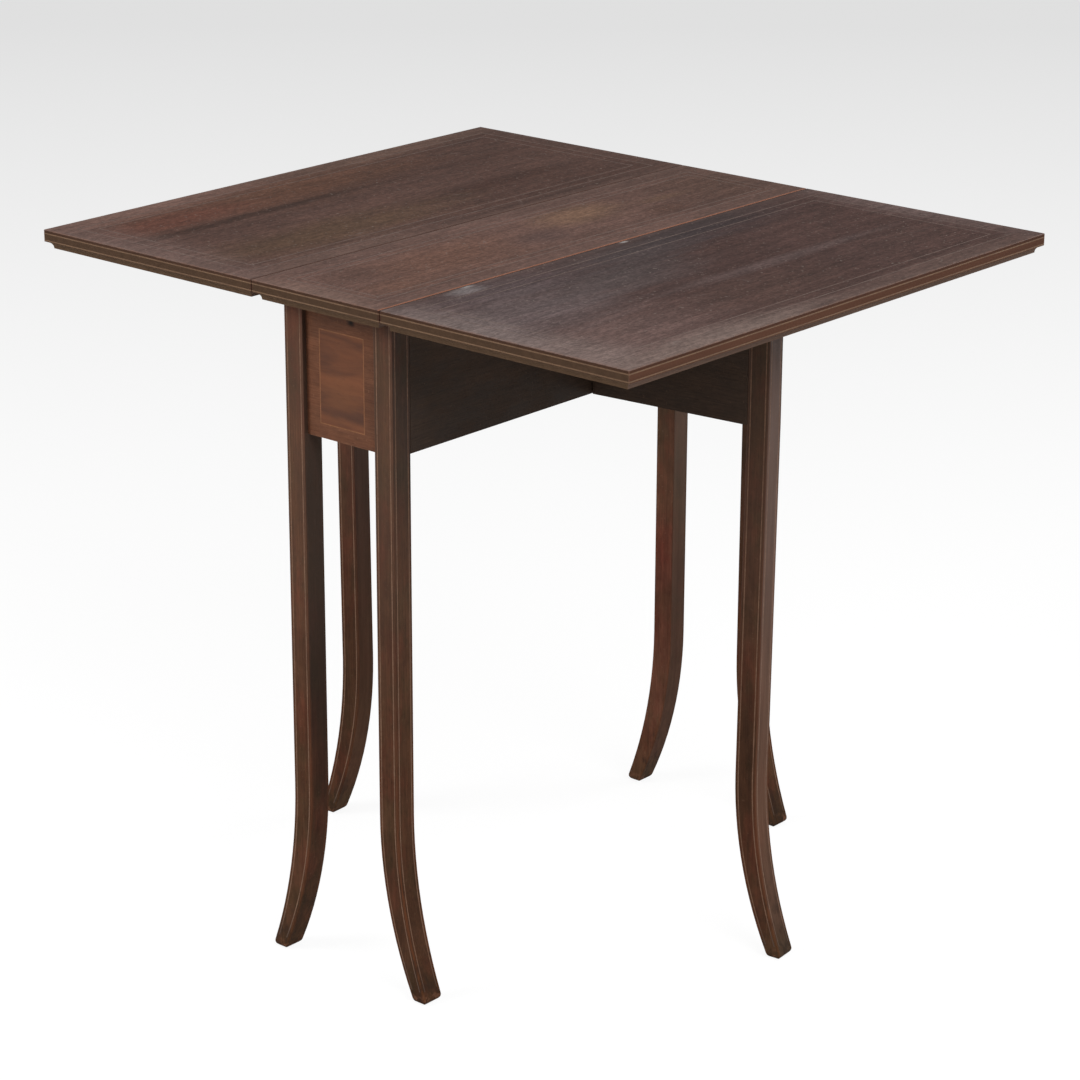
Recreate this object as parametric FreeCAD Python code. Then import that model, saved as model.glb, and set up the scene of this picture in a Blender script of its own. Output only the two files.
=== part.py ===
import FreeCAD, Part
import os
from math import asin, cos, sin

# Drop-leaf side table: a narrow fixed frame, two hinged leaves and two gates that swing out under them.
# Millimetres. X runs across the leaves, Y along the table and Z up, from the floor under the top's middle.
# The leaves are up and both gates are open. The near end is towards -Y, the right side towards +X.

V = FreeCAD.Vector
ORIGIN = V(0, 0, 0)
ACROSS = V(1, 0, 0)
ALONG = V(0, 1, 0)
UP = V(0, 0, 1)

# Whole table
HEIGHT = 711.0
TOP_LENGTH = 651.0
CENTRE_WIDTH = 165.0
LEAF_WIDTH = 294.0
SEAM_GAP = 1.0

# Boards of the top: a square edge above a cove
BOARD_THICKNESS = 19.5
EDGE_FLAT = 12.3
COVE_SET_IN = 6.6
BOARD_ARRIS = 0.7
COVE_BULGE_SHARE = 0.7071

# Stringing let into boards, rails and legs
STRING_WIDTH = 1.2
STRING_DEPTH = 1.0
BORDER_OUTER_INSET = 23.5
LEAF_BORDER_INNER_INSET = 38.5
CENTRE_BORDER_INNER_INSET = 33.5
EDGE_STRING_UPPER = 3.9
EDGE_STRING_LOWER = 10.9

# Fixed frame, set in under the centre board
SIDE_OVERHANG = 12.2
END_OVERHANG = 29.5
APRON_DEPTH = 133.0
LEG_WIDTH = 24.0
PANEL_RECESS = 5.0
END_RAIL_THICKNESS = 18.0
INNER_RAIL_THICKNESS = 16.0
INNER_RAIL_DEPTH = 105.0
RAIL_BLOCK_LENGTH = 50.2
RAIL_BLOCK_GAP = 3.0
CORNER_BLOCK_SIDE = 22.0
CORNER_BLOCK_DEPTH = 26.0

# Figured panel on each end rail
PANEL_SIDE_MARGIN = 17.0
PANEL_TOP_MARGIN = 25.0
PANEL_BOTTOM_MARGIN = 14.0
VENEER_THICKNESS = 0.9

# Sabre legs
CURVE_HEIGHT = 190.0
FOOT_SPLAY = 36.5
FOOT_WIDTH = 17.0
FOOT_ROUND = 5.5
LEG_ARRIS = 0.8
LEG_STRING_INSET = 3.6
LEG_STRING_END_HEIGHT = 14.0
GATE_KNEE_SET_IN = 3.5

# Tenons
TENON_THICKNESS = 8.0
TENON_SHOULDER = 14.0
SIDE_TENON_LENGTH = 14.0
INNER_TENON_LENGTH = 9.0
TENON_CLEARANCE = 0.1
TENON_SPACING = 1.0

# Gates and their wooden knuckle joints
GATE_PIN_Y = 1.8
RIGHT_GATE_LEAN_DEG = 5.8
LEFT_GATE_LEAN_DEG = -3.0
GATE_TOP_GAP = 0.3
GATE_BACK_GAP = 0.6
KNUCKLE_FINGERS = 5
KNUCKLE_GAP = 0.3
KNUCKLE_SHOULDER_GAP = 0.8
GATE_PIN_RADIUS = 3.0
GATE_PIN_CLEARANCE = 0.05
GATE_PIN_SEAT = 6.0

# Leaf hinges, let in flush under the boards
HINGE_END_SET_IN = 110.0
HINGE_LENGTH = 50.0
HINGE_FINGERS = 5
HINGE_FINGER_GAP = 0.2
LEAF_FLAP_WIDTH = 34.0
CENTRE_FLAP_WIDTH = 27.0
FLAP_THICKNESS = 1.8
FLAP_SINK = 0.1
FLAP_HOUSING_CLEARANCE = 0.1
FLAP_SEAM_CLEARANCE = 3.7
BARREL_RADIUS = 2.6
BARREL_SINK = 0.3
HINGE_PIN_RADIUS = 1.3
HINGE_PIN_CLEARANCE = 0.05

# Screws
HINGE_SCREW_RADIUS = 1.2
HINGE_SCREW_HEAD_RADIUS = 2.6
HINGE_SCREW_LENGTH = 11.0
HINGE_SCREW_PLACE_SHARES = ((-0.34, 0.38), (0.0, 0.74), (0.34, 0.38))
WOOD_SCREW_RADIUS = 2.0
WOOD_SCREW_HEAD_RADIUS = 4.0
TOP_SCREW_BITE = 12.0
RAIL_SCREW_BITE = 12.0
FIXED_RAIL_SCREW_SHARES = (0.15, 0.5, 0.85)
RAIL_BLOCK_SCREW_SHARES = (0.5,)

# Levels and places that follow from the sizes above
UNDERSIDE = HEIGHT - BOARD_THICKNESS
APRON_BOTTOM = UNDERSIDE - APRON_DEPTH
CENTRE_EDGE = CENTRE_WIDTH / 2
SEAM_X = CENTRE_EDGE + SEAM_GAP / 2
LEAF_INNER_EDGE = CENTRE_EDGE + SEAM_GAP
LEAF_OUTER_EDGE = LEAF_INNER_EDGE + LEAF_WIDTH
TOP_END = TOP_LENGTH / 2
FRAME_SIDE = CENTRE_EDGE - SIDE_OVERHANG
FRAME_END = TOP_END - END_OVERHANG
LEG_INNER_SIDE = FRAME_SIDE - LEG_WIDTH
LEG_INNER_END = FRAME_END - LEG_WIDTH
PANEL_FACE = FRAME_END - PANEL_RECESS
END_RAIL_BACK = PANEL_FACE - END_RAIL_THICKNESS
INNER_RAIL_OUTSIDE = LEG_INNER_SIDE - GATE_BACK_GAP
INNER_RAIL_INSIDE = INNER_RAIL_OUTSIDE - INNER_RAIL_THICKNESS
GATE_HALF = LEG_WIDTH / 2
GATE_PIN_X = FRAME_SIDE - GATE_HALF
GATE_TOP = UNDERSIDE - GATE_TOP_GAP
RAIL_BLOCK_START = LEG_INNER_END - RAIL_BLOCK_LENGTH
GATE_REACH = RAIL_BLOCK_START - RAIL_BLOCK_GAP - GATE_PIN_Y
GATE_LEG_INNER = GATE_REACH - LEG_WIDTH
KNUCKLE_SHOULDER = GATE_HALF + KNUCKLE_SHOULDER_GAP
END_TENON_LENGTH = (LEG_WIDTH - TENON_THICKNESS) / 2 - TENON_SPACING
HINGE_Y = TOP_END - HINGE_END_SET_IN
HINGE_Z = UNDERSIDE + BARREL_RADIUS + BARREL_SINK
OVERRUN = BOARD_THICKNESS

parts = {}


def box(x, y, z):
    """A block between the low and high ends given for each axis."""
    low = V(min(x), min(y), min(z))
    return Part.makeBox(max(x) - low.x, max(y) - low.y, max(z) - low.z, low)


def group(shapes):
    return Part.makeCompound(shapes)


def mirror_across(shape):
    return shape.mirror(ORIGIN, ACROSS)


def mirror_along(shape):
    return shape.mirror(ORIGIN, ALONG)


def line(a, b):
    return Part.LineSegment(a, b).toShape()


def extruded(edges, direction):
    wire = Part.Wire(Part.__sortEdges__(edges))
    return Part.Face(wire).extrude(direction)


def span(middle, width):
    return (middle - width / 2, middle + width / 2)


def turned_screw(seat, direction, length, radius, head_radius):
    """A countersunk screw whose head is flush at the seat and whose shank runs along the direction."""
    head_depth = head_radius - radius
    head = Part.makeCone(head_radius, radius, head_depth, seat, direction)
    shank = Part.makeCylinder(radius, length, seat, direction)
    return head.fuse(shank).removeSplitter()


# Boards of the top

def board_section(low, high, place):
    """Edges of a board's cross-section between two ends, with rounded upper arrises and a cove each side."""
    flat_bottom = HEIGHT - EDGE_FLAT
    cove_height = flat_bottom - UNDERSIDE
    edges = []
    for end, inward in ((low, 1), (high, -1)):
        arris_side = place(end, HEIGHT - BOARD_ARRIS)
        arris_top = place(end + inward * BOARD_ARRIS, HEIGHT)
        bulge = BOARD_ARRIS * (1 - COVE_BULGE_SHARE)
        arris_middle = place(end + inward * bulge, HEIGHT - bulge)
        cove_top = place(end, flat_bottom)
        cove_bottom = place(end + inward * COVE_SET_IN, UNDERSIDE)
        cove_middle = place(end + inward * COVE_SET_IN * COVE_BULGE_SHARE,
                            UNDERSIDE + cove_height * COVE_BULGE_SHARE)
        edges.append(Part.Arc(arris_top, arris_middle, arris_side).toShape())
        edges.append(line(arris_side, cove_top))
        edges.append(Part.Arc(cove_top, cove_middle, cove_bottom).toShape())
    edges.append(line(place(low + BOARD_ARRIS, HEIGHT), place(high - BOARD_ARRIS, HEIGHT)))
    edges.append(line(place(low + COVE_SET_IN, UNDERSIDE), place(high - COVE_SET_IN, UNDERSIDE)))
    return edges


def board(low, high):
    """A board between two places across the table, coved on all four edges with mitred corners."""
    across = extruded(board_section(low, high, lambda x, z: V(x, -TOP_END, z)), V(0, TOP_LENGTH, 0))
    along = extruded(board_section(-TOP_END, TOP_END, lambda y, z: V(low, y, z)), V(high - low, 0, 0))
    return across.common(along)


def ring(low, high, inset, z):
    """A closed string that runs at one inset from all four edges of a board."""
    half = STRING_WIDTH / 2
    outer = box((low + inset - half, high - inset + half), span(0, TOP_LENGTH - 2 * inset + STRING_WIDTH), z)
    inner = box((low + inset + half, high - inset - half), span(0, TOP_LENGTH - 2 * inset - STRING_WIDTH), z)
    return outer.cut(inner)


def border(low, high, inner_inset):
    levels = (HEIGHT - STRING_DEPTH, HEIGHT)
    return [ring(low, high, inset, levels) for inset in (BORDER_OUTER_INSET, inner_inset)]


def edge_strings(low, high, core_low, core_high):
    """Two strings round a board's edge, one above the other, outside the core that they run round."""
    strings = []
    for depth in (EDGE_STRING_UPPER, EDGE_STRING_LOWER):
        z = span(HEIGHT - depth, STRING_WIDTH)
        band = box((low, high), span(0, TOP_LENGTH), z)
        core = box((core_low, core_high), span(0, TOP_LENGTH - 2 * STRING_DEPTH), z)
        strings.append(band.cut(core))
    return strings


# Leaf hinges, worked out for the near hinge of the right leaf

def knuckles(first, side, bore):
    """The barrel fingers that belong to one flap, from the first of the row and every second one on."""
    pitch = HINGE_LENGTH / HINGE_FINGERS
    start = -HINGE_Y - HINGE_LENGTH / 2
    length = pitch - HINGE_FINGER_GAP
    fingers = []
    for i in range(first, HINGE_FINGERS, 2):
        y = start + i * pitch + HINGE_FINGER_GAP / 2
        barrel = Part.makeCylinder(BARREL_RADIUS, length, V(SEAM_X, y, HINGE_Z), ALONG)
        lug = box((SEAM_X, SEAM_X + side * FLAP_SEAM_CLEARANCE), (y, y + length),
                  (UNDERSIDE + FLAP_SINK, HINGE_Z))
        hole = Part.makeCylinder(bore, length, V(SEAM_X, y, HINGE_Z), ALONG)
        fingers.append(barrel.fuse(lug).cut(hole))
    return fingers


def flap_plate(side, width):
    x = (SEAM_X + side * FLAP_SEAM_CLEARANCE, SEAM_X + side * width)
    z = (UNDERSIDE + FLAP_SINK, UNDERSIDE + FLAP_SINK + FLAP_THICKNESS)
    return box(x, span(-HINGE_Y, HINGE_LENGTH), z)


def flap_housing(side, width):
    """The pocket in a board's underside that takes a flap and lets it lie flush."""
    x = (SEAM_X, SEAM_X + side * (width + FLAP_HOUSING_CLEARANCE))
    z = (UNDERSIDE - OVERRUN, UNDERSIDE + FLAP_SINK + FLAP_THICKNESS)
    return box(x, span(-HINGE_Y, HINGE_LENGTH + 2 * FLAP_HOUSING_CLEARANCE), z)


def flap_screws(side, width):
    screws = []
    for along_share, across_share in HINGE_SCREW_PLACE_SHARES:
        seat = V(SEAM_X + side * width * across_share, -HINGE_Y + HINGE_LENGTH * along_share,
                 UNDERSIDE + FLAP_SINK)
        screws.append(turned_screw(seat, UP, HINGE_SCREW_LENGTH, HINGE_SCREW_RADIUS,
                                   HINGE_SCREW_HEAD_RADIUS))
    return screws


def flap(side, width, first, bore):
    plate = flap_plate(side, width)
    for finger in knuckles(first, side, bore):
        plate = plate.fuse(finger)
    for screw in flap_screws(side, width):
        plate = plate.cut(screw)
    return plate.removeSplitter()


def four_hinges(shape):
    """The same shape at the near and far hinge of each leaf, with the names of the places."""
    far = mirror_along(shape)
    return {"right_near": shape, "right_far": far,
            "left_near": mirror_across(shape), "left_far": mirror_across(far)}


def make_top():
    """Centre board, leaves, their stringing and the hinges between them."""
    leaf_flap = flap(1, LEAF_FLAP_WIDTH, 1, HINGE_PIN_RADIUS + HINGE_PIN_CLEARANCE)
    centre_flap = flap(-1, CENTRE_FLAP_WIDTH, 0, HINGE_PIN_RADIUS)
    pin = Part.makeCylinder(HINGE_PIN_RADIUS, HINGE_LENGTH,
                            V(SEAM_X, -HINGE_Y - HINGE_LENGTH / 2, HINGE_Z), ALONG)
    for name, shape in four_hinges(leaf_flap).items():
        parts[name + "_hinge_leaf_flap"] = shape
    for name, shape in four_hinges(centre_flap).items():
        parts[name + "_hinge_centre_flap"] = shape
    for name, shape in four_hinges(pin).items():
        parts[name + "_hinge_pin"] = shape

    leaf_screws = flap_screws(1, LEAF_FLAP_WIDTH)
    leaf_screws += [mirror_along(s) for s in leaf_screws]
    centre_screws = flap_screws(-1, CENTRE_FLAP_WIDTH)
    centre_screws += [mirror_along(s) for s in centre_screws]
    centre_screws += [mirror_across(s) for s in centre_screws]
    parts["right_leaf_hinge_screws"] = group(leaf_screws)
    parts["left_leaf_hinge_screws"] = group([mirror_across(s) for s in leaf_screws])
    parts["centre_hinge_screws"] = group(centre_screws)

    leaf = board(LEAF_INNER_EDGE, LEAF_OUTER_EDGE)
    leaf_border = border(LEAF_INNER_EDGE, LEAF_OUTER_EDGE, LEAF_BORDER_INNER_INSET)
    leaf_edge = edge_strings(LEAF_INNER_EDGE, LEAF_OUTER_EDGE,
                             LEAF_INNER_EDGE, LEAF_OUTER_EDGE - STRING_DEPTH)
    housing = flap_housing(1, LEAF_FLAP_WIDTH)
    leaf = leaf.cut(leaf_border + leaf_edge + leaf_screws + [housing, mirror_along(housing)])
    parts["right_leaf_board"] = leaf
    parts["right_leaf_border_stringing"] = group(leaf_border)
    parts["right_leaf_edge_stringing"] = group(leaf_edge)
    for piece in ("board", "border_stringing", "edge_stringing"):
        parts["left_leaf_" + piece] = mirror_across(parts["right_leaf_" + piece])

    centre = board(-CENTRE_EDGE, CENTRE_EDGE)
    centre_border = border(-CENTRE_EDGE, CENTRE_EDGE, CENTRE_BORDER_INNER_INSET)
    centre_edge = []
    for band in edge_strings(-CENTRE_EDGE, CENTRE_EDGE, -CENTRE_EDGE, CENTRE_EDGE):
        centre_edge += band.Solids
    housings = list(four_hinges(flap_housing(-1, CENTRE_FLAP_WIDTH)).values())
    parts["centre_border_stringing"] = group(centre_border)
    parts["centre_edge_stringing"] = group(centre_edge)
    parts["centre_board"] = centre.cut(centre_border + centre_edge + centre_screws + housings
                                       + top_screws())


# Sabre legs

def sabre_radius(splay):
    """The radius of a curve that leaves the upright leg and ends at the floor with this splay."""
    return (CURVE_HEIGHT ** 2 + splay ** 2) / (2 * splay)


def sabre_path(x, top, radius, end_height, knee, y):
    """Edges down one long side of a leg: straight, set in at the knee by a gate leg, then curved out."""
    points = [V(x, y, top)]
    if knee:
        points.append(V(x, y, APRON_BOTTOM))
    points.append(V(x - knee, y, CURVE_HEIGHT))
    turn = asin((CURVE_HEIGHT - end_height) / radius)

    def on_curve(angle):
        return V(x - knee + radius * (1 - cos(angle)), y, CURVE_HEIGHT - radius * sin(angle))

    edges = [line(a, b) for a, b in zip(points, points[1:])]
    edges.append(Part.Arc(on_curve(0), on_curve(turn / 2), on_curve(turn)).toShape())
    return edges, points[0], on_curve(turn)


def sabre_strip(outer, inner, top, end_height, knee, y):
    """A solid between two long sides, each given as its place across the leg and its curve's radius."""
    outer_edges, outer_top, outer_end = sabre_path(outer[0], top, outer[1], end_height, knee, min(y))
    inner_edges, inner_top, inner_end = sabre_path(inner[0], top, inner[1], end_height, knee, min(y))
    edges = outer_edges + inner_edges + [line(inner_top, outer_top), line(inner_end, outer_end)]
    return extruded(edges, V(0, max(y) - min(y), 0))


def sabre_sides(outside):
    """The outer and inner long sides of a leg whose outer face is at this place."""
    inner_splay = FOOT_SPLAY + LEG_WIDTH - FOOT_WIDTH
    return (outside, sabre_radius(FOOT_SPLAY)), (outside - LEG_WIDTH, sabre_radius(inner_splay))


def sabre_leg(outside, top, knee, y):
    """A leg with a worn, rounded foot and eased arrises."""
    outer, inner = sabre_sides(outside)
    leg = sabre_strip(outer, inner, top, 0, knee, y)
    foot = [e for e in leg.Edges if e.BoundBox.ZMax < FOOT_ROUND]
    leg = leg.makeFillet(FOOT_ROUND, foot)
    long_edges = [e for e in leg.Edges if e.BoundBox.ZLength > LEG_WIDTH and e.BoundBox.YLength < LEG_ARRIS]
    return leg.makeFillet(LEG_ARRIS, long_edges)


def face_strings(outside, top, knee, y):
    """Two strings on a leg's flat face, one beside each arris, which follow its curve."""
    outer, inner = sabre_sides(outside)
    half = STRING_WIDTH / 2
    strings = []
    for (x, radius), inward in ((outer, -1), (inner, 1)):
        near = inward * (LEG_STRING_INSET - half)
        far = inward * (LEG_STRING_INSET + half)
        strings.append(sabre_strip((x + near, radius - near), (x + far, radius - far), top,
                                   LEG_STRING_END_HEIGHT, knee, y))
    return strings


def side_strings(outside, top, knee, y):
    """Two strings down a leg's curved outer side, one beside each arris."""
    x, radius = sabre_sides(outside)[0]
    strings = []
    for middle in (min(y) + LEG_STRING_INSET, max(y) - LEG_STRING_INSET):
        strings.append(sabre_strip((x, radius), (x - STRING_DEPTH, radius + STRING_DEPTH), top,
                                   LEG_STRING_END_HEIGHT, knee, span(middle, STRING_WIDTH)))
    return strings


# Rails and their tenons

def tenon_levels(top, bottom):
    return (bottom + TENON_SHOULDER, top - TENON_SHOULDER)


def mortise_levels(top, bottom):
    low, high = tenon_levels(top, bottom)
    return (low - TENON_CLEARANCE, high + TENON_CLEARANCE)


MORTISE_THICKNESS = TENON_THICKNESS + 2 * TENON_CLEARANCE
END_TENON_Y = -(PANEL_FACE + END_RAIL_BACK) / 2
SIDE_TENON_X = FRAME_SIDE - LEG_WIDTH / 2
INNER_TENON_X = (INNER_RAIL_OUTSIDE + INNER_RAIL_INSIDE) / 2
INNER_RAIL_BOTTOM = UNDERSIDE - INNER_RAIL_DEPTH


def near_right_leg():
    """One fixed leg with mortises for the end rail and the side rail, and its stringing."""
    y = (-FRAME_END, -LEG_INNER_END)
    leg = sabre_leg(FRAME_SIDE, UNDERSIDE, 0, y)
    levels = mortise_levels(UNDERSIDE, APRON_BOTTOM)
    end_mortise = box((LEG_INNER_SIDE, LEG_INNER_SIDE + END_TENON_LENGTH + TENON_CLEARANCE),
                      span(END_TENON_Y, MORTISE_THICKNESS), levels)
    side_mortise = box(span(SIDE_TENON_X, MORTISE_THICKNESS),
                       (-LEG_INNER_END, -LEG_INNER_END - SIDE_TENON_LENGTH - TENON_CLEARANCE), levels)
    strings = face_strings(FRAME_SIDE, UNDERSIDE, 0, (-FRAME_END, -FRAME_END + STRING_DEPTH))
    strings += side_strings(FRAME_SIDE, UNDERSIDE, 0, y)
    return leg.cut([end_mortise, side_mortise] + strings), strings


def make_legs():
    leg, strings = near_right_leg()
    for end, turn_end in (("near", lambda s: s), ("far", mirror_along)):
        for side, turn_side in (("right", lambda s: s), ("left", mirror_across)):
            name = end + "_" + side + "_leg"
            parts[name] = turn_side(turn_end(leg))
            parts[name + "_stringing"] = group([turn_side(turn_end(s)) for s in strings])


def make_end_rails():
    """End rails set back between the legs, with a figured panel inside one string."""
    y = (-PANEL_FACE, -END_RAIL_BACK)
    rail = box((-LEG_INNER_SIDE, LEG_INNER_SIDE), y, (APRON_BOTTOM, UNDERSIDE))
    reach = LEG_INNER_SIDE + END_TENON_LENGTH
    rail = rail.fuse(box((-reach, reach), span(END_TENON_Y, TENON_THICKNESS),
                         tenon_levels(UNDERSIDE, APRON_BOTTOM)))
    mortise = box(span(INNER_TENON_X, MORTISE_THICKNESS),
                  (-END_RAIL_BACK, -END_RAIL_BACK - INNER_TENON_LENGTH - TENON_CLEARANCE),
                  mortise_levels(UNDERSIDE, INNER_RAIL_BOTTOM))
    half_width = LEG_INNER_SIDE - PANEL_SIDE_MARGIN
    low, high = APRON_BOTTOM + PANEL_BOTTOM_MARGIN, UNDERSIDE - PANEL_TOP_MARGIN
    string_y = (-PANEL_FACE, -PANEL_FACE + STRING_DEPTH)
    frame = box((-half_width, half_width), string_y, (low, high))
    inside = half_width - STRING_WIDTH
    string = frame.cut(box((-inside, inside), string_y, (low + STRING_WIDTH, high - STRING_WIDTH)))
    veneer = box((-inside, inside), (-PANEL_FACE, -PANEL_FACE + VENEER_THICKNESS),
                 (low + STRING_WIDTH, high - STRING_WIDTH))
    rail = rail.cut([mortise, mirror_across(mortise), string, veneer]).removeSplitter()
    for end, turn_end in (("near", lambda s: s), ("far", mirror_along)):
        parts[end + "_end_rail"] = turn_end(rail)
        parts[end + "_end_stringing"] = turn_end(string)
        parts[end + "_end_veneer"] = turn_end(veneer)


def top_screws():
    """One screw up through each corner block into the centre board."""
    x = INNER_RAIL_INSIDE - CORNER_BLOCK_SIDE / 2
    y = -END_RAIL_BACK + CORNER_BLOCK_SIDE / 2
    screw = turned_screw(V(x, y, UNDERSIDE - CORNER_BLOCK_DEPTH), UP, CORNER_BLOCK_DEPTH + TOP_SCREW_BITE,
                         WOOD_SCREW_RADIUS, WOOD_SCREW_HEAD_RADIUS)
    screws = [screw, mirror_along(screw)]
    return screws + [mirror_across(s) for s in screws]


def make_corner_blocks():
    block = box((INNER_RAIL_INSIDE - CORNER_BLOCK_SIDE, INNER_RAIL_INSIDE),
                (-END_RAIL_BACK, -END_RAIL_BACK + CORNER_BLOCK_SIDE),
                (UNDERSIDE - CORNER_BLOCK_DEPTH, UNDERSIDE)).cut(top_screws()[0])
    parts["near_right_corner_block"] = block
    parts["near_left_corner_block"] = mirror_across(block)
    parts["far_right_corner_block"] = mirror_along(block)
    parts["far_left_corner_block"] = mirror_across(mirror_along(block))
    parts["top_fixing_screws"] = group(top_screws())


# Wooden knuckle joint at the gate's pin

def finger_levels(top, moving):
    """Heights of the fixed rail's fingers, or of the moving arm's, which lie between them."""
    pitch = (top - APRON_BOTTOM) / KNUCKLE_FINGERS
    first = 1 if moving else 0
    levels = []
    for i in range(first, KNUCKLE_FINGERS, 2):
        low = APRON_BOTTOM + i * pitch
        high = low + pitch
        if moving:
            low += KNUCKLE_GAP
            high -= KNUCKLE_GAP
        levels.append((low, high))
    return levels


def finger(levels, centre, shoulder):
    """A round-ended finger about the pin's axis, from a shoulder in the rail's direction."""
    low, high = levels
    barrel = Part.makeCylinder(GATE_HALF, high - low, V(centre.x, centre.y, low))
    x = (centre.x, shoulder.x) if shoulder.y == centre.y else span(centre.x, LEG_WIDTH)
    y = (centre.y, shoulder.y) if shoulder.x == centre.x else span(centre.y, LEG_WIDTH)
    return barrel.fuse(box(x, y, (low, high)))


def gate_pin_hole(radius):
    floor = APRON_BOTTOM + GATE_PIN_SEAT
    return Part.makeCylinder(radius, UNDERSIDE + OVERRUN - floor, V(GATE_PIN_X, GATE_PIN_Y, floor))


def rail_screws(y_low, y_high, shares):
    """Screws from inside the frame through the inner rail into a side rail."""
    z = (UNDERSIDE + INNER_RAIL_BOTTOM) / 2
    screws = []
    for share in shares:
        seat = V(INNER_RAIL_INSIDE, y_low + (y_high - y_low) * share, z)
        screws.append(turned_screw(seat, ACROSS, INNER_RAIL_THICKNESS + RAIL_SCREW_BITE,
                                   WOOD_SCREW_RADIUS, WOOD_SCREW_HEAD_RADIUS))
    return screws


def make_side_rails():
    """Inner rails, the fixed knuckle rails outside them and the rail blocks beyond the closed gates."""
    fixed_end = GATE_PIN_Y - KNUCKLE_SHOULDER
    x = (INNER_RAIL_OUTSIDE, FRAME_SIDE)
    z = (APRON_BOTTOM, UNDERSIDE)
    levels = tenon_levels(UNDERSIDE, APRON_BOTTOM)
    fixed_screws = rail_screws(-LEG_INNER_END, fixed_end, FIXED_RAIL_SCREW_SHARES)
    block_screws = rail_screws(RAIL_BLOCK_START, LEG_INNER_END, RAIL_BLOCK_SCREW_SHARES)

    fixed = box(x, (-LEG_INNER_END, fixed_end), z)
    fixed = fixed.fuse(box(span(SIDE_TENON_X, TENON_THICKNESS),
                           (-LEG_INNER_END - SIDE_TENON_LENGTH, -LEG_INNER_END), levels))
    pin_centre = V(GATE_PIN_X, GATE_PIN_Y, 0)
    for finger_span in finger_levels(UNDERSIDE, False):
        fixed = fixed.fuse(finger(finger_span, pin_centre, V(GATE_PIN_X, fixed_end, 0)))
    fixed = fixed.cut(fixed_screws + [gate_pin_hole(GATE_PIN_RADIUS)])

    block = box(x, (RAIL_BLOCK_START, LEG_INNER_END), z)
    block = block.fuse(box(span(SIDE_TENON_X, TENON_THICKNESS),
                           (LEG_INNER_END, LEG_INNER_END + SIDE_TENON_LENGTH), levels))
    block = block.cut(block_screws)

    inner = box((INNER_RAIL_INSIDE, INNER_RAIL_OUTSIDE), span(0, 2 * END_RAIL_BACK),
                (INNER_RAIL_BOTTOM, UNDERSIDE))
    inner = inner.fuse(box(span(INNER_TENON_X, TENON_THICKNESS),
                           span(0, 2 * (END_RAIL_BACK + INNER_TENON_LENGTH)),
                           tenon_levels(UNDERSIDE, INNER_RAIL_BOTTOM)))
    inner = inner.cut(fixed_screws + block_screws)

    pin_floor = APRON_BOTTOM + GATE_PIN_SEAT
    pin = Part.makeCylinder(GATE_PIN_RADIUS, GATE_TOP - pin_floor, V(GATE_PIN_X, GATE_PIN_Y, pin_floor))
    for name, shape in (("fixed_rail", fixed), ("rail_block", block), ("inner_rail", inner),
                        ("gate_pin", pin)):
        shape = shape.removeSplitter()
        parts["right_" + name] = shape
        parts["left_" + name] = mirror_across(shape)
    screws = fixed_screws + block_screws
    parts["rail_screws"] = group(screws + [mirror_across(s) for s in screws])


def gate_pieces(lean_deg):
    """A right-hand gate: arm, leg and strings, made along X from the pin and turned to its open place."""
    pin_side = KNUCKLE_SHOULDER
    y = (-GATE_HALF, GATE_HALF)
    arm = box((pin_side, GATE_LEG_INNER), y, (APRON_BOTTOM, GATE_TOP))
    arm = arm.fuse(box((GATE_LEG_INNER, GATE_LEG_INNER + SIDE_TENON_LENGTH), span(0, TENON_THICKNESS),
                       tenon_levels(GATE_TOP, APRON_BOTTOM)))
    for finger_span in finger_levels(UNDERSIDE, True):
        arm = arm.fuse(finger(finger_span, ORIGIN, V(pin_side, 0, 0)))
    hole = Part.makeCylinder(GATE_PIN_RADIUS + GATE_PIN_CLEARANCE, HEIGHT)
    arm = arm.cut(hole).removeSplitter()

    mortise = box((GATE_LEG_INNER, GATE_LEG_INNER + SIDE_TENON_LENGTH + TENON_CLEARANCE),
                  span(0, MORTISE_THICKNESS), mortise_levels(GATE_TOP, APRON_BOTTOM))
    strings = face_strings(GATE_REACH, GATE_TOP, GATE_KNEE_SET_IN, (-GATE_HALF, -GATE_HALF + STRING_DEPTH))
    strings += side_strings(GATE_REACH, GATE_TOP, GATE_KNEE_SET_IN, y)
    leg = sabre_leg(GATE_REACH, GATE_TOP, GATE_KNEE_SET_IN, y).cut([mortise] + strings)

    pieces = {"gate_arm": arm, "gate_leg": leg, "gate_leg_stringing": group(strings)}
    for shape in pieces.values():
        shape.rotate(ORIGIN, UP, lean_deg)
        shape.translate(V(GATE_PIN_X, GATE_PIN_Y, 0))
    return pieces


def make_gates():
    for name, shape in gate_pieces(RIGHT_GATE_LEAN_DEG).items():
        parts["right_" + name] = shape
    for name, shape in gate_pieces(LEFT_GATE_LEAN_DEG).items():
        parts["left_" + name] = mirror_across(shape)


make_top()
make_legs()
make_end_rails()
make_corner_blocks()
make_side_rails()
make_gates()

os.makedirs("parts", exist_ok=True)
for node, shape in parts.items():
    shape.exportStep("parts/" + node + ".step")
    print(node, len(shape.Solids), shape.isValid(), round(shape.Volume))
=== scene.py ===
import math

import bmesh
import bpy
from mathutils import Matrix, Vector


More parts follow.
